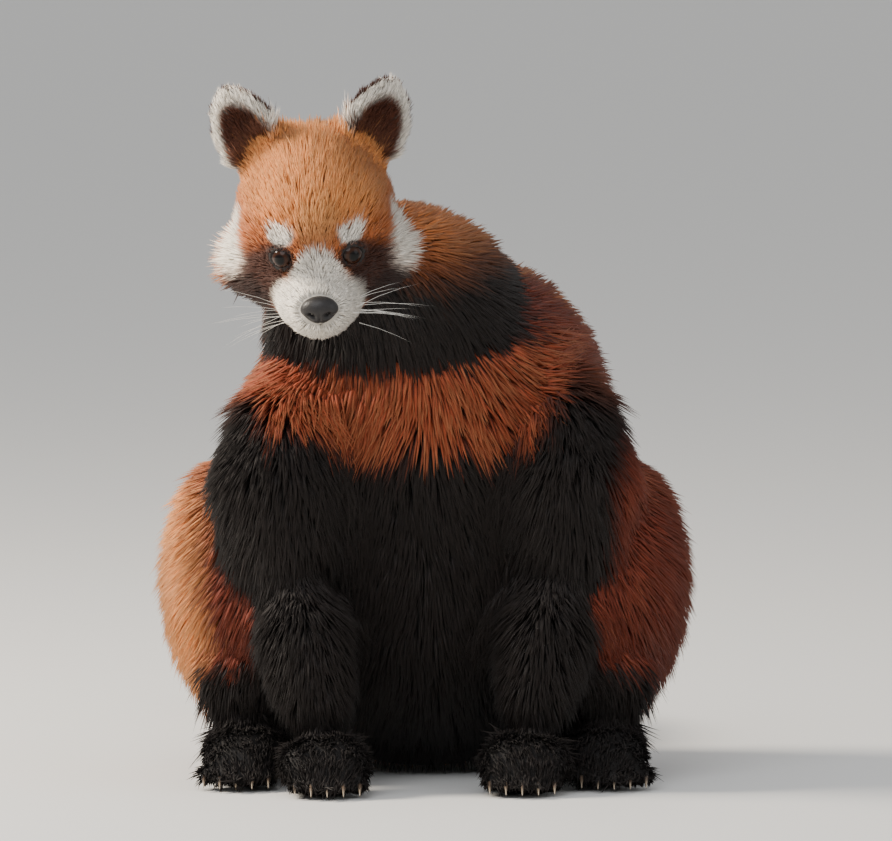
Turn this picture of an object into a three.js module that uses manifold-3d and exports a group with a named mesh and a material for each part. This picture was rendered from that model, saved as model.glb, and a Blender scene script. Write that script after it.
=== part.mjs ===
// Red panda sitting on its haunches, hunched, with its head low and its face to the viewer.
// Sizes are millimetres, to the tips of the coat. +X is the animal's left, -Y its front, +Z up.

import * as THREE from 'three';
import { mergeVertices } from 'three/addons/utils/BufferGeometryUtils.js';
import Module from 'manifold-3d';

const SEAM = 0.3;
const WELD = 1e-4;
const FUSE_POWER = 9;
const FLOOR_BLOCK = 2000;
const SIDES = { left: 1, right: -1 };

const COAT_RED = '#8f3f1c';
const COAT_ORANGE = '#b4602c';
const COAT_BLACK = '#1d1512';
const COAT_WHITE = '#d8cfc2';
const EYE_BROWN = '#1c0f0a';
const NOSE_BLACK = '#14110f';
const COAT_ROUGH = 0.9;
const NOSE_ROUGH = 0.45;
const EYE_ROUGH = 0.08;

// Trunk: four rounded masses fused into one back-heavy ball.
const TRUNK_CORE = point(0, 20, 180);
const HIPS = lump(point(0, 55, 118), point(124, 100, 122));
const RIBS = lump(point(6, 32, 212), point(118, 98, 122));
const SHOULDERS = lump(point(-6, -14, 236), point(108, 84, 104));
const BELLY = lump(point(0, -12, 122), point(92, 80, 96));
const TRUNK_LUMPS = [HIPS, RIBS, SHOULDERS, BELLY];
const TRUNK_DETAIL = 5;

// Head in its own frame: the face looks along -Y, the eyes lie near the origin's height.
const HEAD_AT = point(-67, -106, 344.5);
const HEAD_PITCH = degrees(26);
const HEAD_ROLL = degrees(-3);
const HEAD_CORE = point(0, -8, -12);
const SKULL = lump(point(0, 13, 9), point(48, 66, 60));
const CHEEKS = lump(point(0, 0, -14), point(61, 37, 37));
const BROW = lump(point(0, -18, 9), point(42, 28, 28));
const MUZZLE = lump(point(0, -30, -20), point(29, 47, 21));
const JAW = lump(point(0, -20, -24), point(25, 41, 26));
const HEAD_LUMPS = [SKULL, CHEEKS, BROW, MUZZLE, JAW];
const HEAD_DETAIL = 8;
const EYE_TOWARD = point(21.6, -36, 23.4);
const EYE_RADIUS = 8.2;
const EYE_SINK = 4.6;
const EYE_DENT = 3.2;
const EYE_DENT_SPREAD = degrees(14);
const EYE_AROUND = 12;
const EYE_ALONG = 8;
const NOSE_AT = point(0, -71.5, -12.6);
const NOSE_HALF = point(11.8, 7.5, 8.8);
const NOSTRIL_AT = point(4.8, -78, -13.6);
const NOSTRIL_HALF = point(2.2, 3.2, 1.9);
const NOSE_AROUND = 12;
const NOSE_ALONG = 6;

// Ear in its own frame: it stands along +Z and its cup opens along -Y.
const EAR_AT = point(33, 17, 42);
const EAR_LEAN = degrees(20);
const EAR_TURN = degrees(18);
const EAR_BACK = degrees(16);
const EAR_ROOT = station(point(0, 4, -14), 19, 9);
const EAR_WIDE = station(point(0, 2, 12), 24, 10);
const EAR_HIGH = station(point(0, 0, 35), 21, 7);
const EAR_TIP = station(point(0, -3, 54), 11, 4);
const CUP_LOW = station(point(0, -8, 2), 12, 7);
const CUP_MIDDLE = station(point(0, -9, 21), 17, 9);
const CUP_HIGH = station(point(0, -9, 41), 12, 6);

// Neck: from inside the withers forward to the back of the head.
const NECK_START = station(point(6, 84, 214), 100, 92);
const NECK_LOW = station(point(-8, 14, 268), 96, 80);
const NECK_MIDDLE = station(point(-28, -34, 304), 84, 71);
const NECK_HIGH = station(point(-50, -70, 325), 68, 59);
const NECK_END = station(point(-62, -100, 332), 52, 42);

// Foreleg on the left side; the right one mirrors it and stands a little ahead.
const ARM_TOP = station(point(70, -14, 262), 42, 50);
const ARM_MIDDLE = station(point(90, -56, 192), 48, 50);
const ARM_ELBOW = station(point(84, -66, 114), 40, 42);
const FOREARM_TOP = station(point(82, -72, 134), 37, 39);
const FOREARM_MIDDLE = station(point(72, -94, 82), 32, 33);
const WRIST = station(point(64, -110, 34), 28, 28);
const FOREPAW_BACK = station(point(64, -98, 20), 26, 24);
const FOREPAW_MIDDLE = station(point(62, -128, 19), 31, 22);
const FOREPAW_FRONT = station(point(60, -156, 15), 29, 17);
const FORELEG_LEAD = 12;

// Hind leg on the left side: folded, with the knee out and the whole foot on the floor.
const THIGH = lump(point(106, 4, 124), point(62, 96, 93));
const SHANK_KNEE = station(point(114, -62, 96), 37, 37);
const SHANK_ANKLE = station(point(108, -40, 28), 29, 29);
const HEEL = station(point(100, 4, 23), 25, 26);
const INSTEP = station(point(108, -56, 22), 30, 25);
const BALL = station(point(117, -118, 15), 31, 17);
const THIGH_DETAIL = 3;

// Toes and claws, set across the front of each paw.
const TOE_COUNT = 5;
const TOE_PITCH = 10;
const TOE_HALF = point(8, 15, 10);
const TOE_LIFT = 9.5;
const TOE_BACK = 4;
const TOE_BOW = 9;
const CLAW_RADIUS = 2.4;
const CLAW_LENGTH = 13;
const CLAW_SIDES = 3;
const CLAW_DROP = degrees(24);
const CLAW_LIFT = 8.5;

// Tail: laid on the floor straight behind the rump, bending to the right near its end.
const TAIL_ROOT = station(point(-6, 66, 74), 48, 48);
const TAIL_RISE = station(point(16, 200, 50), 50, 52);
const TAIL_MIDDLE = station(point(14, 312, 47), 51, 49);
const TAIL_BEND = station(point(-34, 406, 46), 50, 48);
const TAIL_END = station(point(-98, 482, 38), 38, 39);
const TAIL_FIRST_CUT = 238;
const TAIL_SECOND_CUT = 352;

const LIMB_MESH = { around: 12, along: 6, blunt: 2.6 };
const PAW_MESH = { around: 10, along: 6, blunt: 2.6 };
const NECK_MESH = { around: 14, along: 6, blunt: 2.4 };
const TAIL_MESH = { around: 16, along: 14, blunt: 3.2 };
const EAR_MESH = { around: 12, along: 6, blunt: 2.6 };
const TOE_MESH = { around: 5, along: 3 };

const ACROSS = point(1, 0, 0);

function point(x, y, z) {
  return new THREE.Vector3(x, y, z);
}

function degrees(angle) {
  return THREE.MathUtils.degToRad(angle);
}

function lump(at, half) {
  return { at, half };
}

function station(at, halfAcross, halfDeep) {
  return { at, half: point(halfAcross, halfDeep, 0) };
}

// A left-side place put on the side asked for; lead moves the right one ahead.
function mirrored(at, side, lead = 0) {
  return point(side * at.x, at.y - (side < 0 ? lead : 0), at.z);
}

const wasm = await Module();
wasm.setup();

function welded(geometry) {
  geometry.deleteAttribute('normal');
  geometry.deleteAttribute('uv');
  return mergeVertices(geometry, WELD);
}

function moveVertices(geometry, mover) {
  const places = geometry.attributes.position;
  const at = point(0, 0, 0);
  for (let i = 0; i < places.count; i += 1) {
    at.fromBufferAttribute(places, i);
    const moved = mover(at, i);
    places.setXYZ(i, moved.x, moved.y, moved.z);
  }
  return geometry;
}

// The same shape with every point pushed out along its normal.
function grown(geometry, by) {
  const wider = geometry.clone();
  wider.computeVertexNormals();
  const normals = wider.attributes.normal;
  const normal = point(0, 0, 0);
  moveVertices(wider, (at, i) => at.clone().addScaledVector(normal.fromBufferAttribute(normals, i), by));
  wider.deleteAttribute('normal');
  return wider;
}

function solidOf(geometry) {
  const mesh = new wasm.Mesh({
    numProp: 3,
    vertProperties: geometry.attributes.position.array,
    triVerts: Uint32Array.from(geometry.index.array),
  });
  return new wasm.Manifold(mesh);
}

function geometryOf(solid) {
  const mesh = solid.getMesh();
  const geometry = new THREE.BufferGeometry();
  geometry.setAttribute('position', new THREE.BufferAttribute(mesh.vertProperties, 3));
  geometry.setIndex(new THREE.BufferAttribute(mesh.triVerts, 1));
  return geometry;
}

// Distance from a core point to where its ray leaves an ellipsoid that holds the core.
function reachOf(core, ray, { at, half }) {
  const from = core.clone().sub(at).divide(half);
  const along = ray.clone().divide(half);
  const a = along.dot(along);
  const b = from.dot(along);
  const c = from.dot(from) - 1;
  return (Math.sqrt(b * b - a * c) - b) / a;
}

function fusedReach(core, ray, lumps, dents) {
  const powers = lumps.map((each) => reachOf(core, ray, each) ** FUSE_POWER);
  const reach = powers.reduce((sum, each) => sum + each, 0) ** (1 / FUSE_POWER);
  const dented = dents.map(({ toward, depth, spread }) => {
    const turn = ray.angleTo(toward) / spread;
    return depth * Math.exp(-turn * turn);
  });
  return dented.reduce((left, each) => left - each, reach);
}

// A rounded mass: a sphere whose points are pushed out to the surface of the fused lumps.
function mass(core, lumps, detail, dents = []) {
  const shape = welded(new THREE.IcosahedronGeometry(1, detail));
  return moveVertices(shape, (at) => {
    const ray = at.clone().normalize();
    return core.clone().addScaledVector(ray, fusedReach(core, ray, lumps, dents));
  });
}

// A rounded limb: the rings of a sphere are carried to their places on a curve through the stations.
function limb(stations, { around, along, blunt }, across = ACROSS) {
  const spine = new THREE.CatmullRomCurve3(stations.map(({ at }) => at));
  const girth = new THREE.CatmullRomCurve3(stations.map(({ half }) => half));
  const shape = welded(new THREE.SphereGeometry(1, around, along));
  return moveVertices(shape, (at) => {
    const t = THREE.MathUtils.clamp((1 - at.y) / 2, 0, 1);
    const tangent = spine.getTangent(t);
    const side = across.clone().addScaledVector(tangent, -across.dot(tangent)).normalize();
    const deep = tangent.clone().cross(side);
    const half = girth.getPoint(t);
    const ring = Math.max(1 - Math.abs(at.y) ** blunt, 0) ** (1 / blunt);
    const turn = Math.atan2(at.z, at.x);
    return spine.getPoint(t)
      .addScaledVector(side, half.x * ring * Math.cos(turn))
      .addScaledVector(deep, half.y * ring * Math.sin(turn));
  });
}

function ellipsoid(at, half, { around, along }) {
  const shape = welded(new THREE.SphereGeometry(1, around, along));
  return shape.scale(half.x, half.y, half.z).translate(at.x, at.y, at.z);
}

function block(low, high) {
  const size = high.clone().sub(low);
  const middle = low.clone().add(high).divideScalar(2);
  return welded(new THREE.BoxGeometry(size.x, size.y, size.z)).translate(middle.x, middle.y, middle.z);
}

function headPlaced(geometry) {
  return geometry.rotateX(HEAD_PITCH).rotateY(HEAD_ROLL).translate(HEAD_AT.x, HEAD_AT.y, HEAD_AT.z);
}

function headShape() {
  const dents = Object.values(SIDES).map((side) => ({
    toward: mirrored(EYE_TOWARD, side).normalize(),
    depth: EYE_DENT,
    spread: EYE_DENT_SPREAD,
  }));
  return headPlaced(mass(HEAD_CORE, HEAD_LUMPS, HEAD_DETAIL, dents));
}

function eyeShape(side) {
  const toward = mirrored(EYE_TOWARD, side).normalize();
  const skin = fusedReach(HEAD_CORE, toward, HEAD_LUMPS, []) - EYE_DENT;
  const at = HEAD_CORE.clone().addScaledVector(toward, skin - EYE_SINK);
  const half = point(EYE_RADIUS, EYE_RADIUS, EYE_RADIUS);
  return headPlaced(ellipsoid(at, half, { around: EYE_AROUND, along: EYE_ALONG }));
}

function noseShape() {
  return headPlaced(ellipsoid(NOSE_AT, NOSE_HALF, { around: NOSE_AROUND, along: NOSE_ALONG }));
}

function nostrilShape(side) {
  return headPlaced(ellipsoid(mirrored(NOSTRIL_AT, side), NOSTRIL_HALF, TOE_MESH));
}

function earPlaced(geometry, side) {
  const at = mirrored(EAR_AT, side);
  geometry.rotateZ(side * EAR_TURN).rotateX(-EAR_BACK).rotateY(side * EAR_LEAN).translate(at.x, at.y, at.z);
  return headPlaced(geometry);
}

function earShape(side) {
  return earPlaced(limb([EAR_ROOT, EAR_WIDE, EAR_HIGH, EAR_TIP], EAR_MESH), side);
}

function earCup(side) {
  return earPlaced(limb([CUP_LOW, CUP_MIDDLE, CUP_HIGH], EAR_MESH), side);
}

function sideLimb(stations, mesh, side, lead = 0) {
  const placed = stations.map(({ at, half }) => ({ at: mirrored(at, side, lead), half }));
  return limb(placed, mesh);
}

// Five toes in a bow across the front of a paw, each with a claw that points ahead and down.
function toesAndClaws(front, side, lead = 0) {
  const middle = mirrored(front.at, side, lead);
  const half = (TOE_COUNT - 1) / 2;
  return Array.from({ length: TOE_COUNT }, (_, i) => i - half).flatMap((step) => {
    const bow = TOE_BOW * (step / half) ** 2;
    const toe = point(middle.x + step * TOE_PITCH, middle.y + TOE_BACK + bow, TOE_LIFT);
    const claw = welded(new THREE.ConeGeometry(CLAW_RADIUS, CLAW_LENGTH, CLAW_SIDES));
    claw.rotateX(Math.PI + CLAW_DROP).translate(toe.x, toe.y - TOE_HALF.y, CLAW_LIFT);
    return [ellipsoid(toe, TOE_HALF, TOE_MESH), claw];
  });
}

function tailShape() {
  return limb([TAIL_ROOT, TAIL_RISE, TAIL_MIDDLE, TAIL_BEND, TAIL_END], TAIL_MESH);
}

// Everything outside a length of the tail, as two blocks that stop half a seam short of its ends.
function outsideLength(from, to) {
  const far = FLOOR_BLOCK / 2;
  const gap = SEAM / 2;
  return [
    block(point(-far, -far, -far), point(far, from + gap, far)),
    block(point(-far, to - gap, -far), point(far, far, far)),
  ];
}

function form(name, colour, shape, { joined = [], cuts = [], roughness = COAT_ROUGH } = {}) {
  return { name, colour, shape, joined, cuts, roughness };
}

// The legs and paws of one side.
function sideForms([word, side]) {
  const lead = FORELEG_LEAD;
  const foot = sideLimb([HEEL, INSTEP, BALL], PAW_MESH, side);
  const paw = sideLimb([FOREPAW_BACK, FOREPAW_MIDDLE, FOREPAW_FRONT], PAW_MESH, side, lead);
  const arm = sideLimb([ARM_TOP, ARM_MIDDLE, ARM_ELBOW], LIMB_MESH, side, lead);
  const forearm = sideLimb([FOREARM_TOP, FOREARM_MIDDLE, WRIST], LIMB_MESH, side, lead);
  const shank = sideLimb([SHANK_KNEE, SHANK_ANKLE], LIMB_MESH, side);
  const thighAt = mirrored(THIGH.at, side);
  const thigh = mass(thighAt, [lump(thighAt, THIGH.half)], THIGH_DETAIL);
  return [
    form(`hindfoot_${word}`, COAT_BLACK, foot, { joined: toesAndClaws(BALL, side) }),
    form(`forepaw_${word}`, COAT_BLACK, paw, { joined: toesAndClaws(FOREPAW_FRONT, side, lead) }),
    form(`thigh_${word}`, COAT_RED, thigh),
    form(`upper_foreleg_${word}`, COAT_BLACK, arm),
    form(`lower_foreleg_${word}`, COAT_BLACK, forearm),
    form(`lower_hindleg_${word}`, COAT_BLACK, shank),
  ];
}

function headForms() {
  const sides = Object.entries(SIDES);
  const nostrils = Object.values(SIDES).map(nostrilShape);
  return [
    ...sides.map(([word, side]) => form(`eye_${word}`, EYE_BROWN, eyeShape(side), { roughness: EYE_ROUGH })),
    form('nose', NOSE_BLACK, noseShape(), { cuts: nostrils, roughness: NOSE_ROUGH }),
    form('head', COAT_ORANGE, headShape()),
    ...sides.map(([word, side]) => form(`ear_${word}`, COAT_WHITE, earShape(side), { cuts: [earCup(side)] })),
  ];
}

function tailForms() {
  const far = FLOOR_BLOCK / 2;
  const ends = [-far, TAIL_FIRST_CUT, TAIL_SECOND_CUT, far];
  return ['tail_base', 'tail_middle', 'tail_tip'].map((name, i) => (
    form(name, COAT_ORANGE, tailShape(), { cuts: outsideLength(ends[i], ends[i + 1]) })
  ));
}

function bodyForms() {
  return [
    form('neck', COAT_RED, limb([NECK_START, NECK_LOW, NECK_MIDDLE, NECK_HIGH, NECK_END], NECK_MESH)),
    form('trunk', COAT_RED, mass(TRUNK_CORE, TRUNK_LUMPS, TRUNK_DETAIL)),
    ...Object.entries(SIDES).flatMap(sideForms),
    ...tailForms(),
  ];
}

// Each form keeps clear of the forms before it by one seam; nothing reaches below the floor.
function carve(forms) {
  const lowest = point(-FLOOR_BLOCK, -FLOOR_BLOCK, -FLOOR_BLOCK);
  const below = solidOf(block(lowest, point(FLOOR_BLOCK, FLOOR_BLOCK, 0)));
  const guards = [];
  return forms.map(({ name, colour, roughness, shape, joined, cuts }) => {
    const whole = joined.reduce((solid, each) => solid.add(solidOf(each)), solidOf(shape));
    const trimmed = cuts.reduce((solid, each) => solid.subtract(solidOf(each)), whole.subtract(below));
    const solid = guards.reduce((left, each) => left.subtract(each), trimmed);
    if (!name.startsWith('tail')) {
      guards.push(solidOf(grown(shape, SEAM)));
    }
    const material = new THREE.MeshStandardMaterial({ color: colour, roughness, metalness: 0 });
    const mesh = new THREE.Mesh(geometryOf(solid), material);
    mesh.name = name;
    return mesh;
  });
}

// The origin is the middle of the model's outline on the floor.
function centred(meshes) {
  const group = new THREE.Group();
  meshes.forEach((mesh) => group.add(mesh));
  const middle = new THREE.Box3().setFromObject(group).getCenter(point(0, 0, 0));
  meshes.forEach((mesh) => mesh.geometry.translate(-middle.x, -middle.y, 0));
  return group;
}

export default centred(carve([...headForms(), ...bodyForms()]));
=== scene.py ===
"""A life-size red panda sitting on its haunches: skin, coat, eyes, nose, claws and whiskers
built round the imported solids. Everything is in metres unless a name says otherwise."""

import math

import bmesh
import bpy
import numpy as np
from mathutils import Matrix, Vector
from mathutils.kdtree import KDTree


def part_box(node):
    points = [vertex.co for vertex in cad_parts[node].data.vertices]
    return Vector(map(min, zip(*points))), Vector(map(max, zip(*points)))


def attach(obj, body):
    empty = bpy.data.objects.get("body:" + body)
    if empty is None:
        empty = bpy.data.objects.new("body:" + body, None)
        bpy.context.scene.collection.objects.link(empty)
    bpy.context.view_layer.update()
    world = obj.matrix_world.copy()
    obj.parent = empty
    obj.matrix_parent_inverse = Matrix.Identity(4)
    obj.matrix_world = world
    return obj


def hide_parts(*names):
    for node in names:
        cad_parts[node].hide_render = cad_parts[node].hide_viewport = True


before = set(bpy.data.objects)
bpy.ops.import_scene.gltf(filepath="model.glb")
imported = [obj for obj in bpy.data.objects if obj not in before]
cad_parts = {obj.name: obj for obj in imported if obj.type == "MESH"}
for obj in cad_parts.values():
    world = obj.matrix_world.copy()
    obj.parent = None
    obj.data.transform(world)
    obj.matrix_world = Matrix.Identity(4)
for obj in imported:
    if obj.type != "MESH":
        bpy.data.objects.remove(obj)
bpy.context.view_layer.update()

MM = 0.001
SEED = 20261125
PICTURE_PIXELS = (892, 841)

# Camera: a very long lens a little above the floor's level.
PIXEL_SIZE = 0.62 * MM
CAMERA_DISTANCE = 8.0
CAMERA_RISE = math.radians(4.0)
SENSOR = 36 * MM
PICTURE_CENTRE = Vector((0.013, -0.25, 0.229))

# The solids' own middle lies this far behind the part's drawing origin.
DRAWING_SHIFT = np.array((0.0, 152.256, 0.0)) * MM

# Head frame, as in the solids: the face looks along -Y before it is pitched and rolled.
HEAD_PITCH = math.radians(26)
HEAD_ROLL = math.radians(-3)
HEAD_AT = np.array((-67, -106, 344.5)) * MM - DRAWING_SHIFT
HEAD_TURN = Matrix.Rotation(HEAD_ROLL, 3, "Y") @ Matrix.Rotation(HEAD_PITCH, 3, "X")
HEAD_AXES = np.array(HEAD_TURN)
EAR_AT = np.array((33, 17, 42))
EAR_LEAN = math.radians(20)

NOSE_AT = np.array((0, -71.5, -12.6))
NOSE_HALF = np.array((11.8, 7.5, 8.8))

SKIN_VOXEL = 2.6 * MM
WELD = 0.01 * MM
PUFF = 0.6 * MM

EYE_RADIUS = 8.2 * MM
LID_CLEARANCE = 0.7 * MM
OPENING_HALF_WIDTH = 7.0 * MM
OPENING_HALF_HEIGHT = 5.2 * MM
PATCH = 0.003

# Paws and claws, in the drawing's millimetres for the places.
FORE_FRONT = (60, -156)
HIND_FRONT = (117, -118)
RIGHT_LEAD = 12
TOE_STEPS = (-2, -1, 0, 1, 2)
TOE_PITCH = 10
TOE_BOW = 9
TOE_REACH = 9
CLAW_HEIGHT = 8
CLAW_LENGTH = 13 * MM
CLAW_RADIUS = 2.1 * MM

EYES = ("eye_left", "eye_right")
FLESH = tuple(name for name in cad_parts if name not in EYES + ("nose",))

REGIONS = ("head", "ear", "neck", "trunk", "thigh", "upper_fore", "lower_fore", "lower_hind", "paw", "tail")
REGION_OF = {
    "head": "head",
    "ear_left": "ear",
    "ear_right": "ear",
    "neck": "neck",
    "trunk": "trunk",
    "tail_base": "tail",
    "tail_middle": "tail",
    "tail_tip": "tail",
}
for side in ("left", "right"):
    REGION_OF["thigh_" + side] = "thigh"
    REGION_OF["upper_foreleg_" + side] = "upper_fore"
    REGION_OF["lower_foreleg_" + side] = "lower_fore"
    REGION_OF["lower_hindleg_" + side] = "lower_hind"
    REGION_OF["hindfoot_" + side] = "paw"
    REGION_OF["forepaw_" + side] = "paw"

# How far the skin lies under the tips of the coat in each region, in millimetres.
COAT_DEPTH = dict(
    head=6.0,
    ear=1.6,
    neck=20,
    trunk=24,
    thigh=21,
    upper_fore=16,
    lower_fore=14,
    lower_hind=12,
    paw=4.5,
    tail=25,
)

RUST = np.array((0.400, 0.105, 0.026))
RED = np.array((0.285, 0.062, 0.016))
ORANGE = np.array((0.640, 0.235, 0.062))
STRAW = np.array((0.730, 0.460, 0.215))
BUFF = np.array((0.600, 0.340, 0.140))
BLACK = np.array((0.014, 0.010, 0.009))
WHITE = np.array((0.800, 0.740, 0.650))
TEAR = np.array((0.130, 0.036, 0.015))
# Painted sunlight and painted shade, for the flanks and the left upper foreleg.
SUNLIT = np.array((0.900, 0.360, 0.120))
SHADED = np.array((0.150, 0.026, 0.012))
COLLAR = np.array((0.270, 0.050, 0.018))


# Small helpers
def smoothstep(low, high, value):
    t = np.clip((value - low) / (high - low), 0.0, 1.0)
    return t * t * (3 - 2 * t)


def unit(vectors):
    length = np.linalg.norm(vectors, axis=-1, keepdims=True)
    return vectors / np.maximum(length, 1e-12)


def along_surface(vectors, normals):
    """The vectors with their part along the normals taken out, at unit length."""
    return unit(vectors - normals * np.sum(vectors * normals, axis=-1, keepdims=True))


def mixed(base, paint, share):
    return base + (paint - base) * share[:, None]


def read(collection, key, width, kind=np.float64):
    values = np.empty(len(collection) * width, dtype=kind)
    collection.foreach_get(key, values)
    return values.reshape(-1, width) if width > 1 else values


def to_head(points):
    """Points in the head's own frame, in millimetres."""
    return (points - HEAD_AT) @ HEAD_AXES / MM


def from_head(vectors):
    return vectors @ HEAD_AXES.T


def to_drawing(points):
    """Points in millimetres from the origin that the solids were drawn about."""
    return (points + DRAWING_SHIFT) / MM


def node_centre(name):
    low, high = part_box(name)
    return (np.array(low) + np.array(high)) / 2


EYE_CENTRES = {name: node_centre(name) for name in EYES}


# The tail's middle line, from the same stations as its solids
def smooth_path(stations, per_span):
    """Points on a curve that passes through the stations, and their shares of the way along it."""
    knots = np.vstack([2 * stations[0] - stations[1], stations, 2 * stations[-1] - stations[-2]])
    spans = []
    for p0, p1, p2, p3 in zip(knots, knots[1:], knots[2:], knots[3:]):
        t = np.linspace(0, 1, per_span, endpoint=False)[:, None]
        square = (2 * p0 - 5 * p1 + 4 * p2 - p3) * t**2
        cube = (3 * p1 - p0 - 3 * p2 + p3) * t**3
        spans.append(0.5 * (2 * p1 + (p2 - p0) * t + square + cube))
    path = np.vstack(spans + [stations[-1:]])
    steps = np.linalg.norm(np.diff(path, axis=0), axis=1)
    share = np.concatenate([[0], np.cumsum(steps)]) / steps.sum()
    return path, share


TAIL_STATIONS = np.array(((-6, 66, 74), (16, 200, 50), (14, 312, 47), (-34, 406, 46), (-98, 482, 38))) * MM
TAIL_PATH, TAIL_SHARE = smooth_path(TAIL_STATIONS - DRAWING_SHIFT, 40)
TAIL_WAY = unit(np.gradient(TAIL_PATH, axis=0))


def nearest_on_tail(points):
    tree = KDTree(len(TAIL_PATH))
    for index, place in enumerate(TAIL_PATH):
        tree.insert(place, index)
    tree.balance()
    return np.array([tree.find(place)[1] for place in points], dtype=int)


# Skin
class Web:
    """The edges of a mesh, for spreading values from each point to its neighbours."""

    def __init__(self, edges, count):
        self.first, self.second = edges.T
        self.count = count
        self.degree = np.bincount(edges.ravel(), minlength=count)[:, None]

    def mean(self, values):
        columns = []
        for column in values.T:
            total = np.bincount(self.first, column[self.second], self.count)
            total += np.bincount(self.second, column[self.first], self.count)
            columns.append(total)
        return np.stack(columns, axis=1) / self.degree

    def spread(self, values, rounds, share=0.5):
        for _ in range(rounds):
            values = values + (self.mean(values) - values) * share
        return values


def normals_of(points, corners):
    """Unit normals at the points of a mesh of triangles."""
    a, b, c = (points[corners[:, i]] for i in range(3))
    faces = np.cross(b - a, c - a)
    total = np.zeros_like(points)
    for i in range(3):
        for axis in range(3):
            total[:, axis] += np.bincount(corners[:, i], faces[:, axis], len(points))
    return unit(total)


def flesh_copy():
    """One mesh of copies of the solids, merged, and puffed a little so that neighbours overlap."""
    whole = bmesh.new()
    for name in FLESH + EYES + ("nose",):
        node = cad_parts[name]
        part = bmesh.new()
        part.from_mesh(node.data)
        part.transform(node.matrix_world)
        bmesh.ops.remove_doubles(part, verts=part.verts, dist=WELD)
        bmesh.ops.recalc_face_normals(part, faces=part.faces)
        part.normal_update()
        puff = -PUFF if name == "nose" else PUFF
        for vertex in part.verts:
            vertex.co += vertex.normal * puff
        mesh = bpy.data.meshes.new(name + "_copy")
        part.to_mesh(mesh)
        part.free()
        whole.from_mesh(mesh)
        bpy.data.meshes.remove(mesh)
    mesh = bpy.data.meshes.new("flesh")
    whole.to_mesh(mesh)
    whole.free()
    return mesh


def add_object(name, mesh):
    thing = bpy.data.objects.new(name, mesh)
    bpy.context.scene.collection.objects.link(thing)
    return thing


def remeshed(mesh, voxel):
    thing = add_object("flesh", mesh)
    remesh = thing.modifiers.new("skin over all", "REMESH")
    remesh.mode = "VOXEL"
    remesh.voxel_size = voxel
    evaluated = thing.evaluated_get(bpy.context.evaluated_depsgraph_get())
    result = bpy.data.meshes.new_from_object(evaluated)
    bpy.data.objects.remove(thing)
    bpy.data.meshes.remove(mesh)
    return result


def refine_near_eyes(mesh):
    """Smaller faces round the eyes, where the lids are shaped."""
    work = bmesh.new()
    work.from_mesh(mesh)
    centres = [Vector(centre) for centre in EYE_CENTRES.values()]
    for reach, cuts in ((17 * MM, 1), (13 * MM, 1)):
        near = [
            edge
            for edge in work.edges
            if any(all((vertex.co - centre).length < reach for vertex in edge.verts) for centre in centres)
        ]
        bmesh.ops.subdivide_edges(work, edges=near, cuts=cuts, use_grid_fill=True, smooth=0.0)
    bmesh.ops.triangulate(work, faces=[face for face in work.faces if len(face.verts) > 4])
    work.to_mesh(mesh)
    work.free()


def surface_samples(name, rng, spacing=4 * MM):
    """Random points on a solid's surface, about one to each square of the spacing."""
    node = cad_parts[name]
    mesh = node.data
    mesh.calc_loop_triangles()
    corners = read(mesh.loop_triangles, "vertices", 3, np.int32)
    points = read(mesh.vertices, "co", 3)
    matrix = np.array(node.matrix_world)
    points = points @ matrix[:3, :3].T + matrix[:3, 3]
    a, b, c = (points[corners[:, i]] for i in range(3))
    area = np.linalg.norm(np.cross(b - a, c - a), axis=1) / 2
    count = max(int(area.sum() / spacing**2), 20)
    pick = rng.choice(len(area), count, p=area / area.sum())
    s, t = rng.random((2, count, 1))
    flip = s + t > 1
    s, t = np.where(flip, 1 - s, s), np.where(flip, 1 - t, t)
    return a[pick] + (b[pick] - a[pick]) * s + (c[pick] - a[pick]) * t


def region_shares(points, web, rng):
    """How much of each region every point belongs to, blended softly across the joins."""
    clouds = [(REGIONS.index(REGION_OF[name]), surface_samples(name, rng)) for name in FLESH]
    tree = KDTree(sum(len(cloud) for _, cloud in clouds))
    labels = []
    for label, cloud in clouds:
        for place in cloud:
            tree.insert(place, len(labels))
            labels.append(label)
    tree.balance()
    nearest = np.array([labels[tree.find(place)[1]] for place in points])
    shares = np.zeros((len(points), len(REGIONS)))
    shares[np.arange(len(points)), nearest] = 1
    return web.spread(shares, 10, 0.6)


def share_of(shares, *names):
    return sum(shares[:, REGIONS.index(name)] for name in names)


def blob(local, centre, radii, soft=0.25):
    """1 inside an ellipsoid and 0 outside it, the same on both sides of the head."""
    folded = np.column_stack((np.abs(local[:, 0]), local[:, 1], local[:, 2]))
    distance = np.linalg.norm((folded - np.array(centre)) / np.array(radii), axis=1)
    return 1 - smoothstep(1 - soft, 1 + soft, distance)


def toward_eye(points):
    return np.min([np.linalg.norm(points - centre, axis=1) for centre in EYE_CENTRES.values()], axis=0)


def coat_depth(points, normals, shares):
    """How far the skin lies under the tips of the coat, in metres."""
    depth = shares @ np.array([COAT_DEPTH[name] for name in REGIONS])
    local = to_head(points)
    head = share_of(shares, "head")
    cheek = blob(local, (52, 2, -16), (22, 30, 34), 0.4)
    crown = blob(local, (0, 12, 54), (46, 46, 34), 0.4)
    face = COAT_DEPTH["head"] + 4 * cheek + 6 * crown
    face -= 3.4 * blob(local, (0, -66, -16), (34, 28, 30), 0.3)
    face += 5 * smoothstep(28, 62, local[:, 1])
    depth = depth + head * (face - COAT_DEPTH["head"])
    near_eye = 1 - smoothstep(9, 22, toward_eye(points) / MM)
    depth = depth * (1 - near_eye) + 0.8 * near_eye
    underneath = smoothstep(-0.4, -0.8, normals[:, 2]) * smoothstep(26, 8, points[:, 2] / MM)
    depth = depth * (1 - underneath) + 2.2 * underneath
    return depth * MM


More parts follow.
